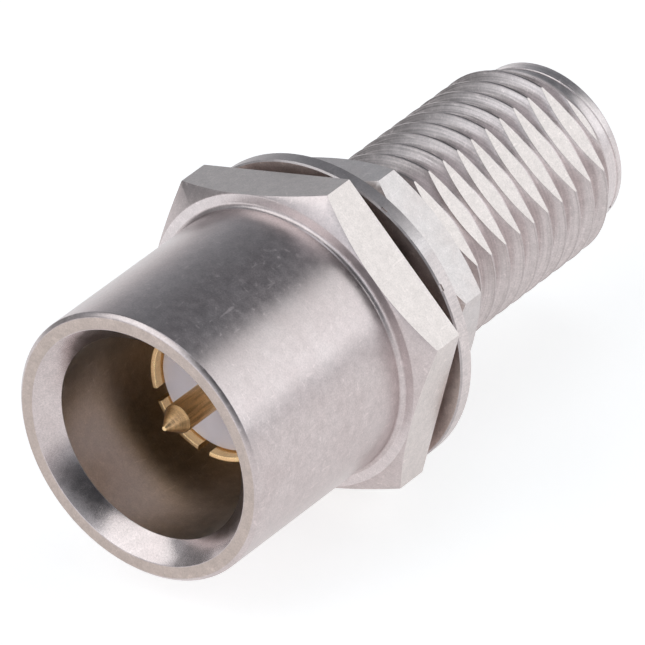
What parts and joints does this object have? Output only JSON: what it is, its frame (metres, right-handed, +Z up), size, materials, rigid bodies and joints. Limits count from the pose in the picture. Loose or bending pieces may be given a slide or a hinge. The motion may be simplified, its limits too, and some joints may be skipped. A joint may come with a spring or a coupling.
{
  "type": "coaxial panel adapter",
  "caption": "Panel-mount coaxial adapter: blind-mate plug in a deep round cup, hex flange, flatted threaded jack tail, toothed lock washer and thin hex nut.",
  "frame": {"origin": "on the axis, in the rear face of the hex flange, where the panel seats", "axes": "+Y along the axis, from the mouth of the cup to the threaded jack end; +Z up"},
  "size_m": [0.0106, 0.0201, 0.0106],
  "materials": {
    "stainless_body": "turned, satin",
    "stainless_hardware": "machined, satin",
    "gold_plate": "plated, bright",
    "white_ptfe": "smooth, waxy"
  },
  "bodies": {
    "connector": {"connector_body": "stainless_body", "spring_finger_ring": "gold_plate", "centre_contact": "gold_plate", "front_insulator": "white_ptfe", "rear_insulator": "white_ptfe"},
    "washer": {"lock_washer": "stainless_hardware"},
    "nut": {"hex_nut": "stainless_hardware"}
  },
  "joints": [
    {"name": "washer_slide", "type": "slide", "parent": "connector", "child": "washer", "axis": [0, 1, 0], "range_m": [0, 0.0124]},
    {"name": "nut_turn", "type": "hinge", "parent": "washer", "child": "nut", "pos_m": [0, 0.0022, 0], "axis": [0, 1, 0], "range_deg": [0, 6330]}
  ],
  "couplings": [
    {"joint": "nut_turn", "follows": "washer_slide", "rad_per_m": 8905.2}
  ]
}
